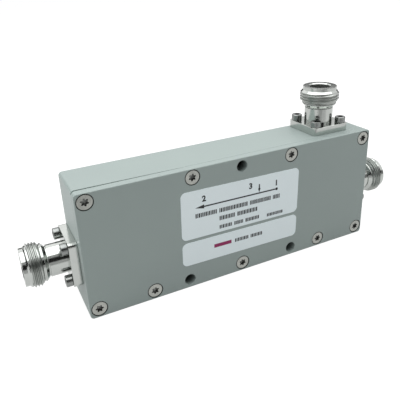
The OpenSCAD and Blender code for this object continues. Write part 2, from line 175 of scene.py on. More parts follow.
# Rows of ruled marks in groups: left end, height on the lid, height of the marks and lengths of the groups
RULED_ROWS = [
    (-20.2, 29.6, 1.75, (8.4, 12.2, 9.0, 3.0)),
    (-10.2, 26.3, 1.75, (6.4, 9.0)),
    (-10.2, 22.6, 1.5, (5.2, 3.6, 5.6)),
    (11.2, 22.3, 1.3, (7.2,)),
    (-3.4, 14.9, 1.5, (5.6, 5.4)),
]
group_gap = 0.9
stroke_widths = (0.5, 0.38, 0.6, 0.42)
stroke_gap = 0.22

# A plain coloured rule on the lower label: left end, height on the lid, length and height of the rule
COLOURED_RULE = (-12.6, 14.9, 7.6, 1.5)

# Ports: each port's own frame has Z = 0 on the housing and points out of the port
mounts = {mount["name"]: mount for mount in frame["record"]["mounts"]}
jack_mount = mounts["output_jack"]
port_y = jack_mount["pos_m"][1] / MM
port_z = jack_mount["pos_m"][2] / MM
coupled_x = mounts["coupled_jack"]["pos_m"][0] / MM
PORTS = {
    "output": Matrix.Translation((-body_length / 2, port_y, port_z)) @ Matrix.Rotation(-math.pi / 2, 4, "Y"),
    "input": Matrix.Translation((body_length / 2, port_y, port_z)) @ Matrix.Rotation(math.pi / 2, 4, "Y"),
    "coupled": Matrix.Translation((coupled_x, port_y, body_height)),
}
port_wall = {"output": end_wall, "input": end_wall, "coupled": side_wall}

# Connectors: flange, radii and thread
flange_side = 17.5
flange_thickness = 3.2
flange_radius = 1.6
flange_edge_round = 0.18
# The barrel starts inside the flange
barrel_root = 0.5
barrel_r = 5.8
neck_r = 5.4
ring_r = 6.9
relief_r = 6.6
nose_r = 6.85
socket_r = 4.3
mouth_break = 0.4
turned_edge_round = 0.08
thread_r = jack_mount["dims"]["r_mm"]
thread_length = jack_mount["dims"]["length_mm"]
threads_per_inch = 24
thread_pitch = INCH / threads_per_inch
thread_depth = 0.6
thread_flat = thread_pitch / 6
# Turns that start below the thread, so that it is whole where it runs out
spare_turns = 2

# Connectors: lengths along the axis, and the stations that they give from the front to the housing
nose_length = 1.4
lead_length = 1.1
runout_length = 0.9
relief_width = 0.35
ring_width = 1.5
ring_slope = 1.1
neck_width = 0.45
socket_depth = 9.2
connector_reach = -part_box("output_connector_body")[0].x / MM - body_length / 2
nose_base = connector_reach - nose_length
thread_top = nose_base - lead_length
thread_base = thread_top - thread_length
relief_top = thread_base - runout_length
ring_top = relief_top - relief_width
ring_base = ring_top - ring_width
neck_base = ring_base - neck_width
socket_floor = connector_reach - socket_depth

# Flange screws, with the turn of the first and the turn from one to the next
flange_screw_spacing = 12.7
flange_screw_r = 1.25
flange_screw_length = 8.0
flange_screw_tip = 0.3
flange_screw_head_r = 2.15
flange_screw_head_height = 2.4
flange_screw_edge_round = 0.3
flange_screw_first_turn = 0.4
flange_screw_turn = 0.9
hex_recess_width = 2.0
hex_recess_r = hex_recess_width / math.sqrt(3)
hex_recess_depth = 1.2
flange_hole_r = 1.4
flange_hole_steps = 32
flange_tap_depth = flange_screw_length - flange_thickness + tap_margin

# Insulators and contacts
insulator_r = 3.5
insulator_steps = 64
insulator_edge_round = 0.1
collar_r = 4.5
collar_height = 1.2
contact_r = 1.52
contact_setback = 4.3
contact_tip = connector_reach - contact_setback
contact_nose_length = 0.3
contact_nose_taper = 0.25
contact_bore_r = 0.83
contact_bore_depth = 4.6
contact_bore_break = 0.2
contact_bore_point = 0.4
contact_slot_width = 0.3
contact_slot_length = 3.6
stem_r = 1.05
stem_reach = {"output": 11.5, "input": 11.5, "coupled": 17.0}

# Places inside the housing
support_offset = 31.0
support_low, support_high = (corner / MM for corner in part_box("right_line_support"))
load_low, load_high = (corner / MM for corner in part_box("load_screws"))
load_screw_r = 1.05
load_screw_edge = 1.8


# Shapes

def absorb(shape, other):
    """Moves another shape's faces into a shape."""
    mesh = bpy.data.meshes.new("moved")
    other.to_mesh(mesh)
    other.free()
    shape.from_mesh(mesh)
    bpy.data.meshes.remove(mesh)


def shape_of(mesh):
    """A shape with a mesh's faces."""
    shape = bmesh.new()
    shape.from_mesh(mesh)
    return shape


def copies_of(shape, matrices):
    """One shape copied to each of several places."""
    copies = bmesh.new()
    for matrix in matrices:
        copy = shape.copy()
        copy.transform(matrix)
        absorb(copies, copy)
    shape.free()
    return copies


def draw_profile(shape, profile, closed=False):
    """Draws a line through (radius, height) points, and gives its points and edges."""
    points = [shape.verts.new((radius, 0, height)) for radius, height in profile]
    following = points[1:] + (points[:1] if closed else [])
    return points + [shape.edges.new(pair) for pair in zip(points, following)]


def revolve(profile, closed=False, steps=round_steps):
    """Turns a profile of (radius, height) points round the Z axis."""
    shape = bmesh.new()
    bmesh.ops.spin(shape, geom=draw_profile(shape, profile, closed), cent=(0, 0, 0), axis=(0, 0, 1),
                   angle=2 * math.pi, steps=steps, use_merge=True)
    bmesh.ops.remove_doubles(shape, verts=shape.verts, dist=point_margin)
    bmesh.ops.recalc_face_normals(shape, faces=shape.faces)
    return shape


def rod(radius, low, high, steps=small_round_steps):
    """A round rod or hole along Z."""
    return revolve([(0, low), (radius, low), (radius, high), (0, high)], steps=steps)


def soften(shape, edges, size, segments):
    """Rounds the given edges."""
    bmesh.ops.bevel(shape, geom=edges, offset=size, offset_type="OFFSET", segments=segments, profile=0.5,
                    affect="EDGES", clamp_overlap=True, material=-1)


def sharp_edges(shape, least_angle):
    """The edges at which two faces meet at more than an angle, in degrees."""
    limit = math.radians(least_angle)
    return [edge for edge in shape.edges if edge.is_manifold and edge.calc_face_angle() > limit]


def block(low, high):
    """A box between two corners."""
    low, high = Vector(low), Vector(high)
    shape = bmesh.new()
    bmesh.ops.create_cube(shape, size=1)
    bmesh.ops.scale(shape, vec=high - low, verts=shape.verts)
    bmesh.ops.translate(shape, vec=(low + high) / 2, verts=shape.verts)
    return shape


def round_plate(width, height, low, high, radius, low_round=0, high_round=0):
    """A plate with round corners, centred on Z, whose lower and upper edges may be rounded."""
    shape = block((-width / 2, -height / 2, low), (width / 2, height / 2, high))
    uprights = [edge for edge in shape.edges
                if abs(edge.verts[0].co.z - edge.verts[1].co.z) > level_margin]
    soften(shape, uprights, radius, segments=10)
    for level, size in ((low, low_round), (high, high_round)):
        rim = [edge for edge in shape.edges
               if all(abs(vert.co.z - level) < level_margin for vert in edge.verts)]
        if size:
            soften(shape, rim, size, segments=3)
    return shape


def new_object(name, data):
    """An object in the scene."""
    made = bpy.data.objects.new(name, data)
    bpy.context.scene.collection.objects.link(made)
    return made


def evaluated_mesh(piece):
    """The mesh of an object with its modifiers applied, or of lettering."""
    bpy.context.view_layer.update()
    graph = bpy.context.evaluated_depsgraph_get()
    return bpy.data.meshes.new_from_object(piece.evaluated_get(graph))


def solid(shape, matrix=Matrix.Identity(4)):
    """An object made of a shape at its place, still in millimetres."""
    shape.transform(matrix)
    bmesh.ops.triangulate(shape, faces=[face for face in shape.faces if len(face.verts) > 4])
    mesh = bpy.data.meshes.new("solid")
    shape.to_mesh(mesh)
    shape.free()
    return new_object("solid", mesh)


def combine(base, operation, *tools):
    """Cuts tools out of a solid, or joins them to it, removes them and cleans the solid's mesh."""
    for tool in tools:
        change = base.modifiers.new("change", "BOOLEAN")
        change.operation = operation
        change.solver = "EXACT"
        change.object = tool
    base.data = evaluated_mesh(base)
    base.modifiers.clear()
    for tool in tools:
        bpy.data.objects.remove(tool)
    shape = shape_of(base.data)
    bmesh.ops.remove_doubles(shape, verts=shape.verts, dist=merge_distance)
    bmesh.ops.dissolve_degenerate(shape, dist=merge_distance / 2, edges=shape.edges)
    shape.to_mesh(base.data)
    shape.free()
    return base


def finish_faces(mesh, *tests):
    """Gives the faces that pass the first test a piece's second material, the next test its third."""
    for face in mesh.polygons:
        for number, passes in enumerate(tests, start=1):
            if passes(face):
                face.material_index = number


def finish_piece(piece, name, materials, nodes=(), sharp_angle=40):
    """Scales a solid to metres, shades it, gives it its materials and ties it to the frame."""
    piece.name = name
    piece.data.name = name
    piece.data.transform(Matrix.Scale(MM, 4))
    piece.data.shade_smooth()
    piece.data.set_sharp_from_angle(angle=math.radians(sharp_angle))
    normals = piece.modifiers.new("flat_faces", "WEIGHTED_NORMAL")
    normals.keep_sharp = True
    for material in materials:
        piece.data.materials.append(material)
    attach(piece, "root")
    if nodes:
        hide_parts(*nodes)


def facing_back(x, y, z):
    """A place on the body whose Z axis points to the back."""
    return Matrix.Translation((x, y, z)) @ Matrix.Rotation(-math.pi / 2, 4, "X")


# Materials

def srgb(code):
    """The linear colour of an sRGB hex value."""
    channels = [int(code[i:i + 2], 16) / 255 for i in (1, 3, 5)]
    return tuple(c / 12.92 if c <= 0.04045 else ((c + 0.055) / 1.055) ** 2.4 for c in channels) + (1.0,)


def per_mm(size):
    """The scale of a pattern whose marks are this many millimetres across."""
    return 1 / (size * MM)


def set_inputs(tree, node, inputs):
    """Fills or links a node's inputs, by name or number."""
    for key, value in inputs.items():
        if isinstance(value, bpy.types.NodeSocket):
            tree.links.new(value, node.inputs[key])
        else:
            node.inputs[key].default_value = value
    return node


def add_node(tree, kind, inputs=None, **settings):
    """Adds a node with its settings and links."""
    node = tree.nodes.new("ShaderNode" + kind)
    for key, value in settings.items():
        setattr(node, key, value)
    return set_inputs(tree, node, inputs or {})


def new_material(name):
    """A material with its node tree and its shader."""
    material = bpy.data.materials.new(name)
    material.use_nodes = True
    return material, material.node_tree, material.node_tree.nodes["Principled BSDF"]


def new_finish(name):
    """A material with its node tree, its shader and the places of an object's points."""
    material, tree, shader = new_material(name)
    return material, tree, shader, add_node(tree, "TexCoord").outputs["Object"]


# Numbers of a colour mix's sockets, which share their names with others
MIX_FACTOR, MIX_A, MIX_B, MIX_RESULT = 0, 6, 7, 2


def clouded_tint(tree, place, size, detail, pale, dark):
    """Soft patches of a size in millimetres, and a colour that drifts with them between two tones."""
    cloud = add_node(tree, "TexNoise", {"Vector": place, "Scale": per_mm(size), "Detail": detail})
    tint = add_node(tree, "Mix", {MIX_FACTOR: cloud.outputs["Fac"], MIX_A: srgb(dark), MIX_B: srgb(pale)},
                    data_type="RGBA")
    return cloud.outputs["Fac"], tint.outputs[MIX_RESULT]


def finish_metal(tree, shader, tint, marks, rough_range, bump_strength, bump_depth):
    """Gives a metal its colour, and a roughness and relief that follow the marks on it."""
    rough = add_node(tree, "MapRange", {"Value": marks, "To Min": rough_range[0], "To Max": rough_range[1]})
    bump = add_node(tree, "Bump", {"Height": marks, "Strength": bump_strength, "Distance": bump_depth * MM})
    set_inputs(tree, shader, {"Base Color": tint, "Metallic": 1.0, "Roughness": rough.outputs["Result"],
                              "Normal": bump.outputs["Normal"]})


def satin_paint(name, pale, dark):
    # Satin paint sprayed on milled aluminium: an even grey-green coat with a faint orange peel.
    # In the gap round a screw head a darker copy is used: painted shade in the gap.
    material, tree, shader, place = new_finish(name)
    cloud, tint = clouded_tint(tree, place, 26, 2.0, pale, dark)
    rough = add_node(tree, "MapRange", {"Value": cloud, "To Min": 0.36, "To Max": 0.44})
    peel = add_node(tree, "TexNoise", {"Vector": place, "Scale": per_mm(0.8), "Detail": 3.0})
    bump = add_node(tree, "Bump", {"Height": peel.outputs["Fac"], "Strength": 0.5, "Distance": 0.008 * MM})
    set_inputs(tree, shader, {"Base Color": tint, "Roughness": rough.outputs["Result"],
                              "Normal": bump.outputs["Normal"], "IOR": 1.5})
    return material


def bore_with_painted_shade():
    # A drilled hole: paint colour at its mouths, darkening to near black further in as painted shade.
    material, tree, shader, place = new_finish("paint_mist_in_a_drilled_hole")
    axes = add_node(tree, "SeparateXYZ", {"Vector": place})
    from_middle = add_node(tree, "Math", {0: axes.outputs["Y"]}, operation="ABSOLUTE")
    cover = add_node(tree, "MapRange", {"Value": from_middle.outputs["Value"],
                                        "From Min": (back_y - shade_fade_depth) * MM, "From Max": back_y * MM})
    tint = add_node(tree, "Mix", {MIX_FACTOR: cover.outputs["Result"], MIX_A: srgb("#121313"),
                                  MIX_B: srgb("#96a3a0")}, data_type="RGBA")
    scoring = add_node(tree, "TexNoise", {"Vector": place, "Scale": per_mm(0.3), "Detail": 3.0})
    rough = add_node(tree, "MapRange", {"Value": scoring.outputs["Fac"], "To Min": 0.4, "To Max": 0.6})
    set_inputs(tree, shader, {"Base Color": tint.outputs[MIX_RESULT], "Roughness": rough.outputs["Result"],
                              "IOR": 1.5})
    return material


def plated_brass(name, port, pale, dark, rough_range):
    # Bright white-bronze plating on turned brass: mirror-like, with faint rings left by the turning tool.
    # The rings are drawn coarser than a tool leaves them, so that they show.
    material, tree, shader, place = new_finish(name)
    _, tint = clouded_tint(tree, place, 5, 2.0, pale, dark)
    on_axis = add_node(tree, "Mapping", {"Vector": place, "Location": port.translation * MM,
                                         "Rotation": port.to_euler()}, vector_type="TEXTURE")
    axes = add_node(tree, "SeparateXYZ", {"Vector": on_axis.outputs["Vector"]})
    flat = add_node(tree, "CombineXYZ", {"X": axes.outputs["X"], "Y": axes.outputs["Y"]})
    radius = add_node(tree, "VectorMath", {0: flat.outputs["Vector"]}, operation="LENGTH")
    travel = add_node(tree, "Math", {0: axes.outputs["Z"], 1: radius.outputs["Value"]}, operation="ADD")
    rings = add_node(tree, "TexNoise", {"W": travel.outputs["Value"], "Scale": per_mm(0.3), "Detail": 3.0},
                     noise_dimensions="1D")
    finish_metal(tree, shader, tint, rings.outputs["Fac"], rough_range, bump_strength=0.5, bump_depth=0.006)
    return material


def screw_steel(name, pale, dark, rough_range):
    # Stainless steel screws, cold headed: a soft grey shine with fine scratches, and a darker copy in a
    # recess as painted shade.
    # The scratches are drawn coarser than they are, so that they show.
    material, tree, shader, place = new_finish(name)
    _, tint = clouded_tint(tree, place, 2.5, 2.0, pale, dark)
    stretched = add_node(tree, "Mapping", {"Vector": place, "Scale": (1.0, 1.0, 0.12)})
    scratch = add_node(tree, "TexNoise", {"Vector": stretched.outputs["Vector"], "Scale": per_mm(0.12),
                                          "Detail": 4.0})
    finish_metal(tree, shader, tint, scratch.outputs["Fac"], rough_range, bump_strength=0.4, bump_depth=0.006)
    return material


def label_film():
    # White polyester label film with a smooth semi-gloss face.
    material, tree, shader, place = new_finish("white_polyester_film")
    _, tint = clouded_tint(tree, place, 15, 2.0, "#eef9fb", "#e8f4f7")
    grain = add_node(tree, "TexNoise", {"Vector": place, "Scale": per_mm(0.35), "Detail": 2.0})
    bump = add_node(tree, "Bump", {"Height": grain.outputs["Fac"], "Strength": 0.3, "Distance": 0.004 * MM})
    set_inputs(tree, shader, {"Base Color": tint, "Roughness": 0.38, "IOR": 1.5,
                              "Normal": bump.outputs["Normal"]})
    return material


def printing_ink(name, pale, dark):
    # Screen-printed ink: a thin matt film with slightly uneven cover.
    material, tree, shader, place = new_finish(name)
    _, tint = clouded_tint(tree, place, 0.6, 3.0, pale, dark)
    set_inputs(tree, shader, {"Base Color": tint, "Roughness": 0.55, "IOR": 1.5})
    return material


def white_insulator():
    # Turned white fluoropolymer: waxy and slightly translucent.
    material, tree, shader, place = new_finish("white_fluoropolymer")
    cloud, tint = clouded_tint(tree, place, 1.5, 3.0, "#f0efea", "#e6e5df")
    bump = add_node(tree, "Bump", {"Height": cloud, "Strength": 0.3, "Distance": 0.01 * MM})
    set_inputs(tree, shader, {"Base Color": tint, "Roughness": 0.45, "IOR": 1.37,
                              "Normal": bump.outputs["Normal"], "Subsurface Weight": 0.15,
                              "Subsurface Radius": (0.6 * MM, 0.6 * MM, 0.6 * MM)})
    return material


def plated_metal(name, pale, dark, rough_range):
    # Plated brass parts: a smooth film of gold, silver or nickel with faint tool marks.
    material, tree, shader, place = new_finish(name)
    marks, tint = clouded_tint(tree, place, 0.4, 4.0, pale, dark)
    finish_metal(tree, shader, tint, marks, rough_range, bump_strength=0.3, bump_depth=0.005)
    return material


def alumina_ceramic():
    # Fired white alumina: matt, with a sintered grain that is drawn coarser than it is, so that it shows.
    material, tree, shader, place = new_finish("fired_alumina")
    _, tint = clouded_tint(tree, place, 0.2, 3.0, "#f0ede6", "#e2ded5")
    set_inputs(tree, shader, {"Base Color": tint, "Roughness": 0.6, "IOR": 1.76})
    return material


paint = satin_paint("satin_paint_on_aluminium", "#9aa7a3", "#939f9d")
# A darker copy of the paint for the seats round the lid screws: painted shade in the gaps round their heads.
gap_paint_with_painted_shade = satin_paint("dusty_paint_in_a_gap", "#575e5b", "#4a504e")
# The finish of the through holes' walls, with painted shade deeper in.
bore_finish_with_painted_shade = bore_with_painted_shade()
steel = screw_steel("stainless_screw_steel", "#9a9d99", "#86898a", (0.16, 0.34))
bright_steel = screw_steel("bright_screw_steel", "#c0c2bc", "#999b96", (0.2, 0.38))
# A darker copy of the screw steel for the lobed recesses: painted shade.
recess_steel_with_painted_shade = screw_steel("dark_scale_on_steel", "#a6a8a5", "#7c7e7c", (0.3, 0.5))
film = label_film()
black_ink = printing_ink("black_printing_ink", "#262a2c", "#16191b")
magenta_ink = printing_ink("magenta_printing_ink", "#97205c", "#841a4f")
fluoropolymer = white_insulator()
gold = plated_metal("gold_plating", "#d8b25c", "#c49a45", (0.16, 0.28))
silver = plated_metal("silver_plating", "#dcdad4", "#c9c6bf", (0.2, 0.34))
load_plating = plated_metal("nickel_plating", "#cfcdc7", "#bdbab3", (0.18, 0.3))
alumina = alumina_ceramic()

# Finishes of a jack's metal, bright outside, duller on the cut thread and dull in the socket, where their
# darker colours are painted shade:
# start of the name, pale colour, dark colour, and least and most roughness
JACK_FINISHES = [
    ("white_bronze_plating_", "#c9cdc9", "#bbbebb", (0.1, 0.22)),
    ("plating_on_cut_thread_", "#b5b9b5", "#a4a7a4", (0.22, 0.34)),
    ("plating_in_socket_", "#858885", "#787b78", (0.5, 0.62)),
]


# Labels

def label_place(z):
    """A place on the front of the labels at a height, turned with them about their middle."""
    pivot = Matrix.Translation((0, front_y, label_pivot_z)) @ Matrix.Rotation(label_tilt, 4, "Y")
    return pivot @ Matrix.Translation((0, 0, z - label_pivot_z))


def labels():
    """Two films with round corners, on the lid."""
    for name, z, height in (("upper", upper_label_z, upper_label_height),
                            ("lower", lower_label_z, lower_label_height)):
        shape = round_plate(label_width, height, 0, label_thickness - ink_thickness, label_radius,
                            0, label_edge_round)
        place = label_place(z) @ Matrix.Rotation(math.pi / 2, 4, "X")
        finish_piece(solid(shape, place), name + "_printed_label", [film], [name + "_label"])


def ink_shape(points):
    """A printed shape on the label's front, from its outline's places along the label and up the lid."""
    shape = bmesh.new()
    outline = shape.faces.new([shape.verts.new((x, -label_thickness, z)) for x, z in points])
    depth = bmesh.ops.extrude_face_region(shape, geom=[outline])["geom"]
    inner = [item for item in depth if isinstance(item, bmesh.types.BMVert)]
    bmesh.ops.translate(shape, vec=(0, ink_thickness, 0), verts=inner)
    return shape


def ink_bar(left, z, width, height):
    """A printed bar, from its left end and middle height."""
    low, high = z - height / 2, z + height / 2
    return ink_shape([(left, low), (left + width, low), (left + width, high), (left, high)])


def ink_dot(x, z, radius):
    """A printed round dot."""
    turns = [2 * math.pi * step / signal_dot_steps for step in range(signal_dot_steps)]
    return ink_shape([(x + radius * math.cos(turn), z + radius * math.sin(turn)) for turn in turns])


def ink_number(text, x, z):
    """A printed number, centred on a place."""
    curve = bpy.data.curves.new("number", "FONT")
    curve.body = text
    curve.align_x = "CENTER"
    curve.align_y = "CENTER"
    curve.size = number_height / number_share_of_font
    curve.offset = number_weight
    curve.extrude = ink_thickness / 2
    lettering = new_object("number", curve)
    shape = shape_of(evaluated_mesh(lettering))
    bpy.data.objects.remove(lettering)
    bmesh.ops.remove_doubles(shape, verts=shape.verts, dist=point_margin)
    place = Matrix.Translation((x, ink_thickness / 2 - label_thickness, z))
    shape.transform(place @ Matrix.Rotation(math.pi / 2, 4, "X"))
    return shape


def signal_arrow():
    """The arrow from the input to the output, with a dot at its tail."""
    head_base = signal_arrow_tip + signal_head_length
    line = ink_bar(head_base, signal_arrow_z, signal_arrow_tail - signal_dot_r - head_base, arrow_line)
    head = ink_shape([(signal_arrow_tip, signal_arrow_z), (head_base, signal_arrow_z - signal_head_half),
                      (head_base, signal_arrow_z + signal_head_half)])
    return [line, head, ink_dot(signal_arrow_tail, signal_arrow_z, signal_dot_r)]


def coupled_arrow():
    """The short arrow that drops onto the signal's line."""
    tip = signal_arrow_z + arrow_line / 2
    head_base = tip + coupled_head_length
    line = ink_bar(coupled_arrow_x - arrow_line / 2, (head_base + coupled_arrow_top) / 2, arrow_line,
                   coupled_arrow_top - head_base)
    head = ink_shape([(coupled_arrow_x, tip), (coupled_arrow_x + coupled_head_half, head_base),
                      (coupled_arrow_x - coupled_head_half, head_base)])
    return [line, head]


def ruled_row(left, z, height, lengths):
    """A row of upright printed strokes, in groups."""
    strokes = []
    for length in lengths:
        x = left
        while x < left + length:
            width = stroke_widths[len(strokes) % len(stroke_widths)]
            strokes.append(ink_bar(x, z, width, height))
            x += width + stroke_gap
        left = x + group_gap
    return strokes


def printed_piece(name, shapes, ink):
    """Printed shapes joined into one piece and turned with the labels."""
    joined = bmesh.new()
    for shape in shapes:
        absorb(joined, shape)
    bmesh.ops.recalc_face_normals(joined, faces=joined.faces)
    place = label_place(label_pivot_z) @ Matrix.Translation((0, 0, -label_pivot_z))
    finish_piece(solid(joined, place), name, [ink])


def label_print():
    """Port numbers, arrows and ruled marks in black, and one coloured rule."""
    marks = [ink_number(text, x, z) for text, (x, z) in PORT_NUMBERS.items()]
    marks += signal_arrow() + coupled_arrow()
    for row in RULED_ROWS:
        marks += ruled_row(*row)
    printed_piece("black_label_print", marks, black_ink)
    printed_piece("magenta_label_rule", [ink_bar(*COLOURED_RULE)], magenta_ink)


# Body

def along_lid(places, y):
    """Places on the lid at a depth, with Z axes that point to the back."""
    return [facing_back(x, y, z) for x, z in places]


def near_a_place(point, places, radius):
    """Whether a point lies within a radius of one of the places on the lid, seen from the front."""
    return any(math.hypot(point.x - x, point.z - z) < radius + face_margin for x, z in places)


def in_mount_hole(face):
    """Whether a face is part of the wall of one of the through holes."""
    faces_sideways = abs(face.normal.y) < 0.5
    return faces_sideways and near_a_place(face.center, mount_hole_places, mount_hole_d / 2)


def in_screw_gap(face):
    """Whether a face of the lid lies in the sunk seat of one of its screws."""
    sunk = front_y + face_margin < face.center.y < joint_y - face_margin
    return sunk and near_a_place(face.center, lid_screw_places, countersink_d / 2)


def mount_holes(y, depth):
    """The through holes in a plate that starts at a level, as a shape to cut away."""
    return copies_of(rod(mount_hole_d / 2, -overcut, depth + overcut), along_lid(mount_hole_places, y))


def support_slots():
    """The slots that the line supports stand in, as a shape to cut away."""
    low = (support_low.x - support_offset - fit_clearance, pocket_floor - overcut,
           support_low.z - fit_clearance)
    high = (support_high.x - support_offset + fit_clearance, support_high.y + fit_clearance,
            support_high.z + fit_clearance)
    offsets = (-support_offset, support_offset)
    return copies_of(block(low, high), [Matrix.Translation((offset, 0, 0)) for offset in offsets])


def load_taps():
    """The tapped holes for the load's screws, as a shape to cut away."""
    tap = rod(load_screw_r, -overcut, load_high.y - pocket_floor + tap_margin)
    rows = (load_low.z + load_screw_edge, load_high.z - load_screw_edge)
    return copies_of(tap, [facing_back(-coupled_x, pocket_floor, z) for z in rows])


def joint_gap():
    """The gap over the lid's joint on top, widest at the output end, as a shape to cut away."""
    gap = block((-body_length / 2 - overcut, joint_y - overcut, body_height - joint_gap_depth),
                (joint_gap_end, joint_y + joint_gap_width, body_height + overcut))
    for vert in gap.verts:
        if vert.co.x > joint_gap_end - overcut:
            vert.co.y = min(vert.co.y, joint_y)
            vert.co.z = max(vert.co.z, body_height - joint_edge_round)
    return gap


def housing():
    """A milled tray with tapped holes, port bores and slots for the line supports."""
    plate = round_plate(body_length, body_height, 0, housing_depth, corner_radius,
                        joint_edge_round, outer_edge_round)
    shell = solid(plate, facing_back(0, joint_y, mid_z))
    pocket = round_plate(body_length - 2 * end_wall, body_height - 2 * side_wall, -overcut,
                         housing_depth - back_wall, pocket_radius)
    lid_taps = copies_of(rod(lid_screw_d / 2 + fit_clearance, -overcut, lid_tap_depth),
                         along_lid(lid_screw_places, joint_y))
    bores = copies_of(rod(insulator_r, -side_wall - overcut, overcut), PORTS.values())
    flange_taps = copies_of(rod(flange_screw_r + fit_clearance, -flange_tap_depth, overcut),
                            [port @ corner for port in PORTS.values() for corner in flange_corners()])
    combine(shell, "DIFFERENCE", solid(pocket, facing_back(0, joint_y, mid_z)), solid(lid_taps),
            solid(mount_holes(joint_y, housing_depth)), solid(bores), solid(flange_taps),
            solid(support_slots()), solid(load_taps()), solid(joint_gap()))
    # The through holes' walls take the bore finish, with painted shade deeper in.
    finish_faces(shell.data, in_mount_hole)
    finish_piece(shell, "painted_housing", [paint, bore_finish_with_painted_shade], ["housing"])


def lid():
    """The front plate, with a sunk seat for each of its screws."""
    plate = round_plate(body_length, body_height, 0, lid_thickness, corner_radius,
                        outer_edge_round, joint_edge_round)
    cover = solid(plate, facing_back(0, front_y, mid_z))
    seat_r = lid_screw_head_d / 2
    hole_r = lid_hole_d / 2
    countersink = revolve([
        (0, -overcut), (countersink_d / 2, -overcut), (countersink_d / 2, counterbore_depth),
        (seat_r, counterbore_depth), (hole_r, counterbore_depth + seat_r - hole_r),
        (hole_r, lid_thickness + overcut), (0, lid_thickness + overcut),
    ], steps=small_round_steps)
    sinks = copies_of(countersink, along_lid(lid_screw_places, front_y))
    combine(cover, "DIFFERENCE", solid(sinks), solid(mount_holes(front_y, lid_thickness)))
    # The screw seats take the darker paint, as painted shade round each head.
    finish_faces(cover.data, in_screw_gap, in_mount_hole)
    # The through holes' walls take the bore finish, with painted shade deeper in.
    finish_piece(cover, "painted_lid", [paint, gap_paint_with_painted_shade, bore_finish_with_painted_shade], ["lid"])


# Lid screws

def lobed_recess():
    """A six-lobe recess with a pointed floor, as a shape to cut away."""
    recess = bmesh.new()
    bmesh.ops.create_cone(recess, cap_ends=True, segments=lobe_steps, radius1=1, radius2=1,
                          depth=lobe_recess_depth + overcut)
    for vert in recess.verts:
        turn = math.atan2(vert.co.y, vert.co.x)
        vert.co.xy *= lobe_middle_r + lobe_swing * math.cos(lobe_count * turn)
    recess_floor = max(recess.faces, key=lambda face: face.calc_center_median().z)
    point = bmesh.ops.poke(recess, faces=[recess_floor])["verts"][0]
    point.co.z += lobe_recess_point
    return recess


def in_lobed_recess(face):
    """Whether a face of a lid screw lies in its recess, in the screw's own frame."""
    deepest = lobe_recess_depth + lobe_recess_point
    widest = lobe_middle_r + lobe_swing + face_margin
    return face_margin < face.center.z < deepest and face.center.xy.length < widest


def lid_screws():
    """Countersunk screws, each at a turn of its own."""
    head_r = lid_screw_head_d / 2
    shank_r = lid_screw_d / 2
    blank = revolve([
        (0, 0), (head_r, 0), (head_r, head_rim), (shank_r, head_rim + head_r - shank_r),
        (shank_r, lid_screw_length - lid_screw_tip), (shank_r - lid_screw_tip, lid_screw_length),
        (0, lid_screw_length),
    ], steps=small_round_steps)
    soften(blank, sharp_edges(blank, least_angle=40), lid_screw_edge_round, segments=2)
    recess_middle = Matrix.Translation((0, 0, (lobe_recess_depth - overcut) / 2))
    screw = combine(solid(blank), "DIFFERENCE", solid(lobed_recess(), recess_middle))
    # The recess faces take the darker steel, as painted shade.
    finish_faces(screw.data, in_lobed_recess)
    seats = [seat @ Matrix.Rotation(lid_screw_turn * place, 4, "Z")
             for place, seat in enumerate(along_lid(lid_screw_places, front_y + head_recess))]
    screws = copies_of(shape_of(screw.data), seats)
    bpy.data.objects.remove(screw)
    finish_piece(solid(screws), "countersunk_lid_screws", [bright_steel, recess_steel_with_painted_shade],
                 ["lid_screws"], sharp_angle=20)


# Connectors

def flange_corners():
    """The places of a flange's four screws, in a port's own frame."""
    half = flange_screw_spacing / 2
    return [Matrix.Translation((x, y, 0)) for x in (-half, half) for y in (-half, half)]


def thread_envelope(z):
    """The radius that the thread's ends run out to, at a height along the connector."""
    if z < thread_base:
        return relief_r + (thread_r - relief_r) * (z - relief_top) / (thread_base - relief_top)
    return min(thread_r, nose_r + (thread_r - nose_r) * (nose_base - z) / (nose_base - thread_top))


def add_thread(shape):
    """A helical thread from the relief to the nose, joined to a turned shape that is open there."""
    root_r = thread_r - thread_depth
    flank = thread_pitch / 2 - thread_flat
    turns = math.ceil((nose_base - relief_top) / thread_pitch) + spare_turns
    start = relief_top - spare_turns * thread_pitch
    profile = [
        (root_r, start), (root_r, start + thread_flat), (thread_r, start + thread_flat + flank),
        (thread_r, start + thread_pitch - flank), (root_r, start + thread_pitch),
    ]
    strip = bmesh.new()
    bmesh.ops.spin(strip, geom=draw_profile(strip, profile), cent=(0, 0, 0), axis=(0, 0, 1),
                   dvec=(0, 0, thread_pitch / round_steps), angle=2 * math.pi * turns,
                   steps=turns * round_steps)
    for vert in strip.verts:
        vert.co.z = min(max(vert.co.z, relief_top), nose_base)
        radius = vert.co.xy.length
        vert.co.xy *= min(radius, thread_envelope(vert.co.z)) / radius
    absorb(shape, strip)
    bmesh.ops.remove_doubles(shape, verts=shape.verts, dist=thread_margin)
    bmesh.ops.dissolve_degenerate(shape, dist=point_margin, edges=shape.edges)


def on_thread(face):
    """Whether a face of a jack is part of its thread, in its port's own frame."""
    return relief_top < face.center.z < thread_top and face.center.xy.length > relief_r


def in_socket(face):
    """Whether a face of a jack lies inside its socket, in its port's own frame."""
    return face.center.z > socket_floor - face_margin and face.center.xy.length < socket_r + face_margin


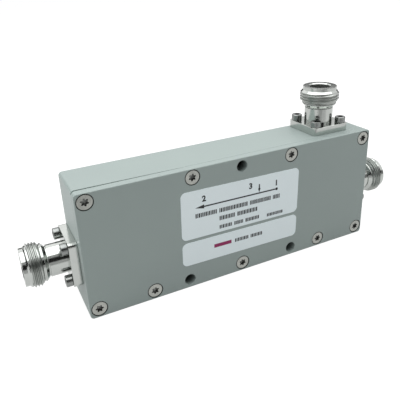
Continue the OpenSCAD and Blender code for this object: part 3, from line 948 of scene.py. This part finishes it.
def connector_blank():
    """A jack's metal body in its port's frame, ready to be copied."""
    turned = revolve([
        (0, barrel_root), (barrel_r, barrel_root), (barrel_r, neck_base), (neck_r, neck_base),
        (neck_r, ring_base), (barrel_r, ring_base), (ring_r, ring_base + ring_slope), (ring_r, ring_top),
        (relief_r, ring_top), (relief_r, relief_top),
    ])
    nose = revolve([(nose_r, nose_base), (nose_r, connector_reach), (0, connector_reach)])
    for part in (turned, nose):
        corners = sharp_edges(part, least_angle=20)
        outside = [edge for edge in corners if edge.verts[0].co.z > flange_thickness]
        soften(part, outside, turned_edge_round, segments=2)
    absorb(turned, nose)
    add_thread(turned)
    bmesh.ops.recalc_face_normals(turned, faces=turned.faces)
    flange = round_plate(flange_side, flange_side, 0, flange_thickness, flange_radius,
                         flange_edge_round, flange_edge_round)
    bore = revolve([
        (0, -overcut), (collar_r, -overcut), (collar_r, collar_height), (insulator_r, collar_height),
        (insulator_r, socket_floor), (socket_r, socket_floor), (socket_r, connector_reach - mouth_break),
        (socket_r + mouth_break + overcut, connector_reach + overcut), (0, connector_reach + overcut),
    ])
    holes = copies_of(rod(flange_hole_r, -overcut, flange_thickness + overcut, steps=flange_hole_steps),
                      flange_corners())
    blank = combine(solid(flange), "UNION", solid(turned))
    combine(blank, "DIFFERENCE", solid(bore), solid(holes))
    # Thread and socket faces take the duller finishes, whose darker colours are painted shade.
    finish_faces(blank.data, on_thread, in_socket)
    return blank


def connector_bodies():
    """Three turned and plated jacks with square flanges."""
    blank = connector_blank()
    for name, port in PORTS.items():
        mesh = blank.data.copy()
        mesh.transform(port)
        platings = [plated_brass(start + name, port, *look) for start, *look in JACK_FINISHES]
        finish_piece(new_object(name, mesh), name + "_threaded_jack", platings,
                     [name + "_connector_body"], sharp_angle=32)
    bpy.data.objects.remove(blank)


def insulators():
    """A turned sleeve with a collar in each connector."""
    outer_r = insulator_r - fit_clearance
    inner_r = stem_r + fit_clearance
    edge_r = collar_r - fit_clearance
    collar_top = collar_height - fit_clearance
    for name, port in PORTS.items():
        inner_end = -port_wall[name]
        shape = revolve([
            (inner_r, inner_end), (outer_r, inner_end), (outer_r, 0), (edge_r, 0), (edge_r, collar_top),
            (outer_r, collar_top), (outer_r, socket_floor), (inner_r, socket_floor),
        ], closed=True, steps=insulator_steps)
        soften(shape, sharp_edges(shape, least_angle=40), insulator_edge_round, segments=2)
        finish_piece(solid(shape, port), name + "_white_insulator", [fluoropolymer],
                     [name + "_insulator"])


def contacts():
    """A bored contact with two crossed slots in each connector."""
    bore_floor = contact_tip - contact_bore_depth
    slot_low = (-contact_r - overcut, -contact_slot_width / 2, contact_tip - contact_slot_length)
    slot_high = (contact_r + overcut, contact_slot_width / 2, contact_tip + overcut)
    for name, port in PORTS.items():
        shape = revolve([
            (0, -stem_reach[name]), (stem_r, -stem_reach[name]), (stem_r, socket_floor),
            (contact_r, socket_floor), (contact_r, contact_tip - contact_nose_length),
            (contact_r - contact_nose_taper, contact_tip), (contact_bore_r + contact_bore_break, contact_tip),
            (contact_bore_r, contact_tip - contact_bore_break), (contact_bore_r, bore_floor),
            (0, bore_floor - contact_bore_point),
        ], steps=small_round_steps)
        slots = [solid(block(slot_low, slot_high), Matrix.Rotation(turn, 4, "Z"))
                 for turn in (0, math.pi / 2)]
        contact = combine(solid(shape), "DIFFERENCE", *slots)
        contact.data.transform(port)
        finish_piece(contact, name + "_slotted_contact", [silver], [name + "_contact"])


def flange_screws():
    """Socket head cap screws, four on each flange, each at a turn of its own."""
    head_r = flange_screw_head_r
    top = flange_screw_head_height
    end = -flange_screw_length
    blank = revolve([
        (0, end), (flange_screw_r - flange_screw_tip, end), (flange_screw_r, flange_screw_tip + end),
        (flange_screw_r, 0), (head_r, 0), (head_r, top), (0, top),
    ], steps=small_round_steps)
    corners = sharp_edges(blank, least_angle=60)
    head_edges = [edge for edge in corners if edge.verts[0].co.z > -face_margin]
    soften(blank, head_edges, flange_screw_edge_round, segments=3)
    recess = bmesh.new()
    bmesh.ops.create_cone(recess, cap_ends=True, segments=6, radius1=hex_recess_r, radius2=hex_recess_r,
                          depth=hex_recess_depth + overcut)
    recess_middle = Matrix.Translation((0, 0, top + (overcut - hex_recess_depth) / 2))
    screw = combine(solid(blank), "DIFFERENCE", solid(recess, recess_middle))
    on_flange = Matrix.Translation((0, 0, flange_thickness))
    for name, port in PORTS.items():
        seats = []
        for place, corner in enumerate(flange_corners()):
            turn = flange_screw_first_turn + flange_screw_turn * place
            seats.append(port @ corner @ on_flange @ Matrix.Rotation(turn, 4, "Z"))
        screws = copies_of(shape_of(screw.data), seats)
        finish_piece(solid(screws), name + "_socket_head_screws", [steel],
                     [name + "_flange_screws"])
    bpy.data.objects.remove(screw)


labels()
label_print()
housing()
lid()
lid_screws()
connector_bodies()
insulators()
contacts()
flange_screws()

# Inner pieces that stay as the solids
INNER_FINISHES = {
    "main_line": silver, "coupled_line": silver, "left_line_support": fluoropolymer,
    "right_line_support": fluoropolymer, "load_flange": load_plating, "load_chip": alumina,
    "load_lead": gold, "load_screws": steel,
}
for node_name, finish in INNER_FINISHES.items():
    node_mesh = frame["nodes"][node_name].data
    node_mesh.materials.clear()
    node_mesh.materials.append(finish)

# Studio: how bright the surround and the floor look, and how much light the surround gives
surround_light = 0.49
surround_seen = 1.0
floor_in_gloss = 0.65
floor_seen = 0.9

# The floor lies a little under the body, so that the two faces don't share a plane
floor_gap = 0.05
floor_radius = 4000
floor_steps = 64

# Flat cards that give bright metal its darker bands: name, two corners and colour
CARDS = [
    ("front_low_card", (-700, -510, 1), (150, -500, 120), "#c0c0c0"),
    ("front_card", (-700, -510, 120), (150, -500, 470), "#141414"),
    ("front_upper_card", (-700, -510, 470), (150, -500, 800), "#b0b0b0"),
    ("front_floor_card", (-700, -500, 1), (120, -140, 2), "#bcbcbc"),
    ("jack_floor_card", (-80, -500, 2), (10, -110, 3), "#a0a0a0"),
    ("right_card", (800, -800, 1), (810, 200, 270), "#707070"),
    ("right_front_card", (560, -760, 1), (700, -560, 340), "#909090"),
]

# A dark band all round, far off
wall_radius = 1100
wall_thickness = 10
wall_low = 15
wall_high = 345

# Camera: turns in degrees, place and lens in millimetres, and shifts as shares of the picture's width
camera_azimuth = -26.05
camera_elevation = 22.44
camera_roll = -2.2
camera_place = (-86.46, -155.64, 113.82)
camera_lens = 43.9
camera_sensor = 36
camera_shift_x = -0.0089
camera_shift_y = -0.0758


def white_when_seen(tree):
    """One for rays that show the background: from the camera, from gloss and through glass."""
    ways = add_node(tree, "LightPath").outputs
    seen = add_node(tree, "Math", {0: ways["Is Camera Ray"], 1: ways["Is Glossy Ray"]}, operation="MAXIMUM")
    return add_node(tree, "Math", {0: seen.outputs["Value"], 1: ways["Is Transmission Ray"]},
                    operation="MAXIMUM").outputs["Value"]


def world():
    """A white surround that gives a softer grey light."""
    sky = bpy.data.worlds.new("studio")
    sky.use_nodes = True
    bpy.context.scene.world = sky
    tree = sky.node_tree
    level = add_node(tree, "MapRange", {"Value": white_when_seen(tree), "To Min": surround_light,
                                        "To Max": surround_seen})
    set_inputs(tree, tree.nodes["Background"], {"Color": srgb("#ffffff"),
                                                "Strength": level.outputs["Result"]})


def stage_object(name, shape, matrix=Matrix.Identity(4)):
    """A piece of the studio, in metres, which isn't part of the object."""
    thing = solid(shape, matrix)
    thing.name = name
    thing.data.transform(Matrix.Scale(MM, 4))
    return thing


def floor():
    """A white floor that keeps a soft shadow."""
    shape = bmesh.new()
    bmesh.ops.create_circle(shape, cap_ends=True, segments=floor_steps, radius=floor_radius)
    ground = stage_object("floor", shape, Matrix.Translation((0, 0, -floor_gap)))
    material, tree, shader = new_material("white_floor")
    set_inputs(tree, shader, {"Base Color": srgb("#b8b8b8"), "Roughness": 0.8, "Specular IOR Level": 0.0})
    level = add_node(tree, "MapRange", {"Value": add_node(tree, "LightPath").outputs["Is Camera Ray"],
                                        "To Min": floor_in_gloss, "To Max": floor_seen})
    glow = add_node(tree, "Emission", {"Color": srgb("#ffffff"), "Strength": level.outputs["Result"]})
    shade = add_node(tree, "BsdfDiffuse", {"Color": srgb("#7c7c7c")})
    seen = add_node(tree, "AddShader", {0: glow.outputs["Emission"], 1: shade.outputs["BSDF"]})
    mix = add_node(tree, "MixShader", {0: white_when_seen(tree), 1: shader.outputs["BSDF"],
                                       2: seen.outputs["Shader"]})
    set_inputs(tree, tree.nodes["Material Output"], {"Surface": mix.outputs["Shader"]})
    ground.data.materials.append(material)


def card(name, shape, colour):
    """A card that shows in bright metal alone."""
    sheet = stage_object(name, shape)
    material, tree, shader = new_material(name + "_felt")
    set_inputs(tree, shader, {"Base Color": srgb(colour), "Roughness": 1.0, "Specular IOR Level": 0.0})
    sheet.data.materials.append(material)
    sheet.visible_camera = False
    sheet.visible_diffuse = False
    sheet.visible_shadow = False


def cards():
    """The flat cards and the band all round."""
    for name, low, high, colour in CARDS:
        card(name, block(low, high), colour)
    wall_back = wall_radius + wall_thickness
    card("wall_card", revolve([(wall_radius, wall_low), (wall_back, wall_low), (wall_back, wall_high),
                               (wall_radius, wall_high)], closed=True), "#202020")


def lamp(name, place, target, width, height, power, shows_in_metal=True):
    """A soft box that points at a target, in metres and watts."""
    light = bpy.data.lights.new(name, "AREA")
    light.shape = "RECTANGLE"
    light.size = width
    light.size_y = height
    light.energy = power
    box = new_object(name, light)
    box.location = place
    box.rotation_euler = (Vector(target) - Vector(place)).to_track_quat("-Z", "Y").to_euler()
    box.visible_glossy = shows_in_metal


def lamps():
    """Three soft boxes: over the object, at its left and behind it."""
    body_middle = (0, 0, mid_z * MM)
    lamp("overhead_softbox", place=(-0.02, 0.04, 0.67), target=(-0.02, 0.04, 0), width=1.25, height=0.84,
         power=6.1)
    lamp("left_softbox", place=(-0.8, 0.35, 0.35), target=body_middle, width=0.5, height=0.5, power=2.3,
         shows_in_metal=False)
    lamp("back_softbox", place=(0.1, 1.0, 0.72), target=body_middle, width=1.6, height=0.6, power=1.0)


def camera():
    """The photograph's viewpoint, with its slight roll and its off-centre crop."""
    azimuth = math.radians(camera_azimuth)
    elevation = math.radians(camera_elevation)
    roll = math.radians(camera_roll)
    lens = bpy.data.cameras.new("camera")
    lens.lens = camera_lens
    lens.sensor_width = camera_sensor
    lens.shift_x = camera_shift_x
    lens.shift_y = camera_shift_y
    viewer = new_object("camera", lens)
    back = Vector((math.sin(azimuth) * math.cos(elevation), -math.cos(azimuth) * math.cos(elevation),
                   math.sin(elevation)))
    viewer.location = Vector(camera_place) * MM
    viewer.rotation_mode = "QUATERNION"
    viewer.rotation_quaternion = (-back).to_track_quat("-Z", "Y") @ Quaternion((0, 0, 1), roll)
    bpy.context.scene.camera = viewer


world()
floor()
cards()
lamps()
camera()
bpy.context.scene.view_settings.view_transform = "Standard"
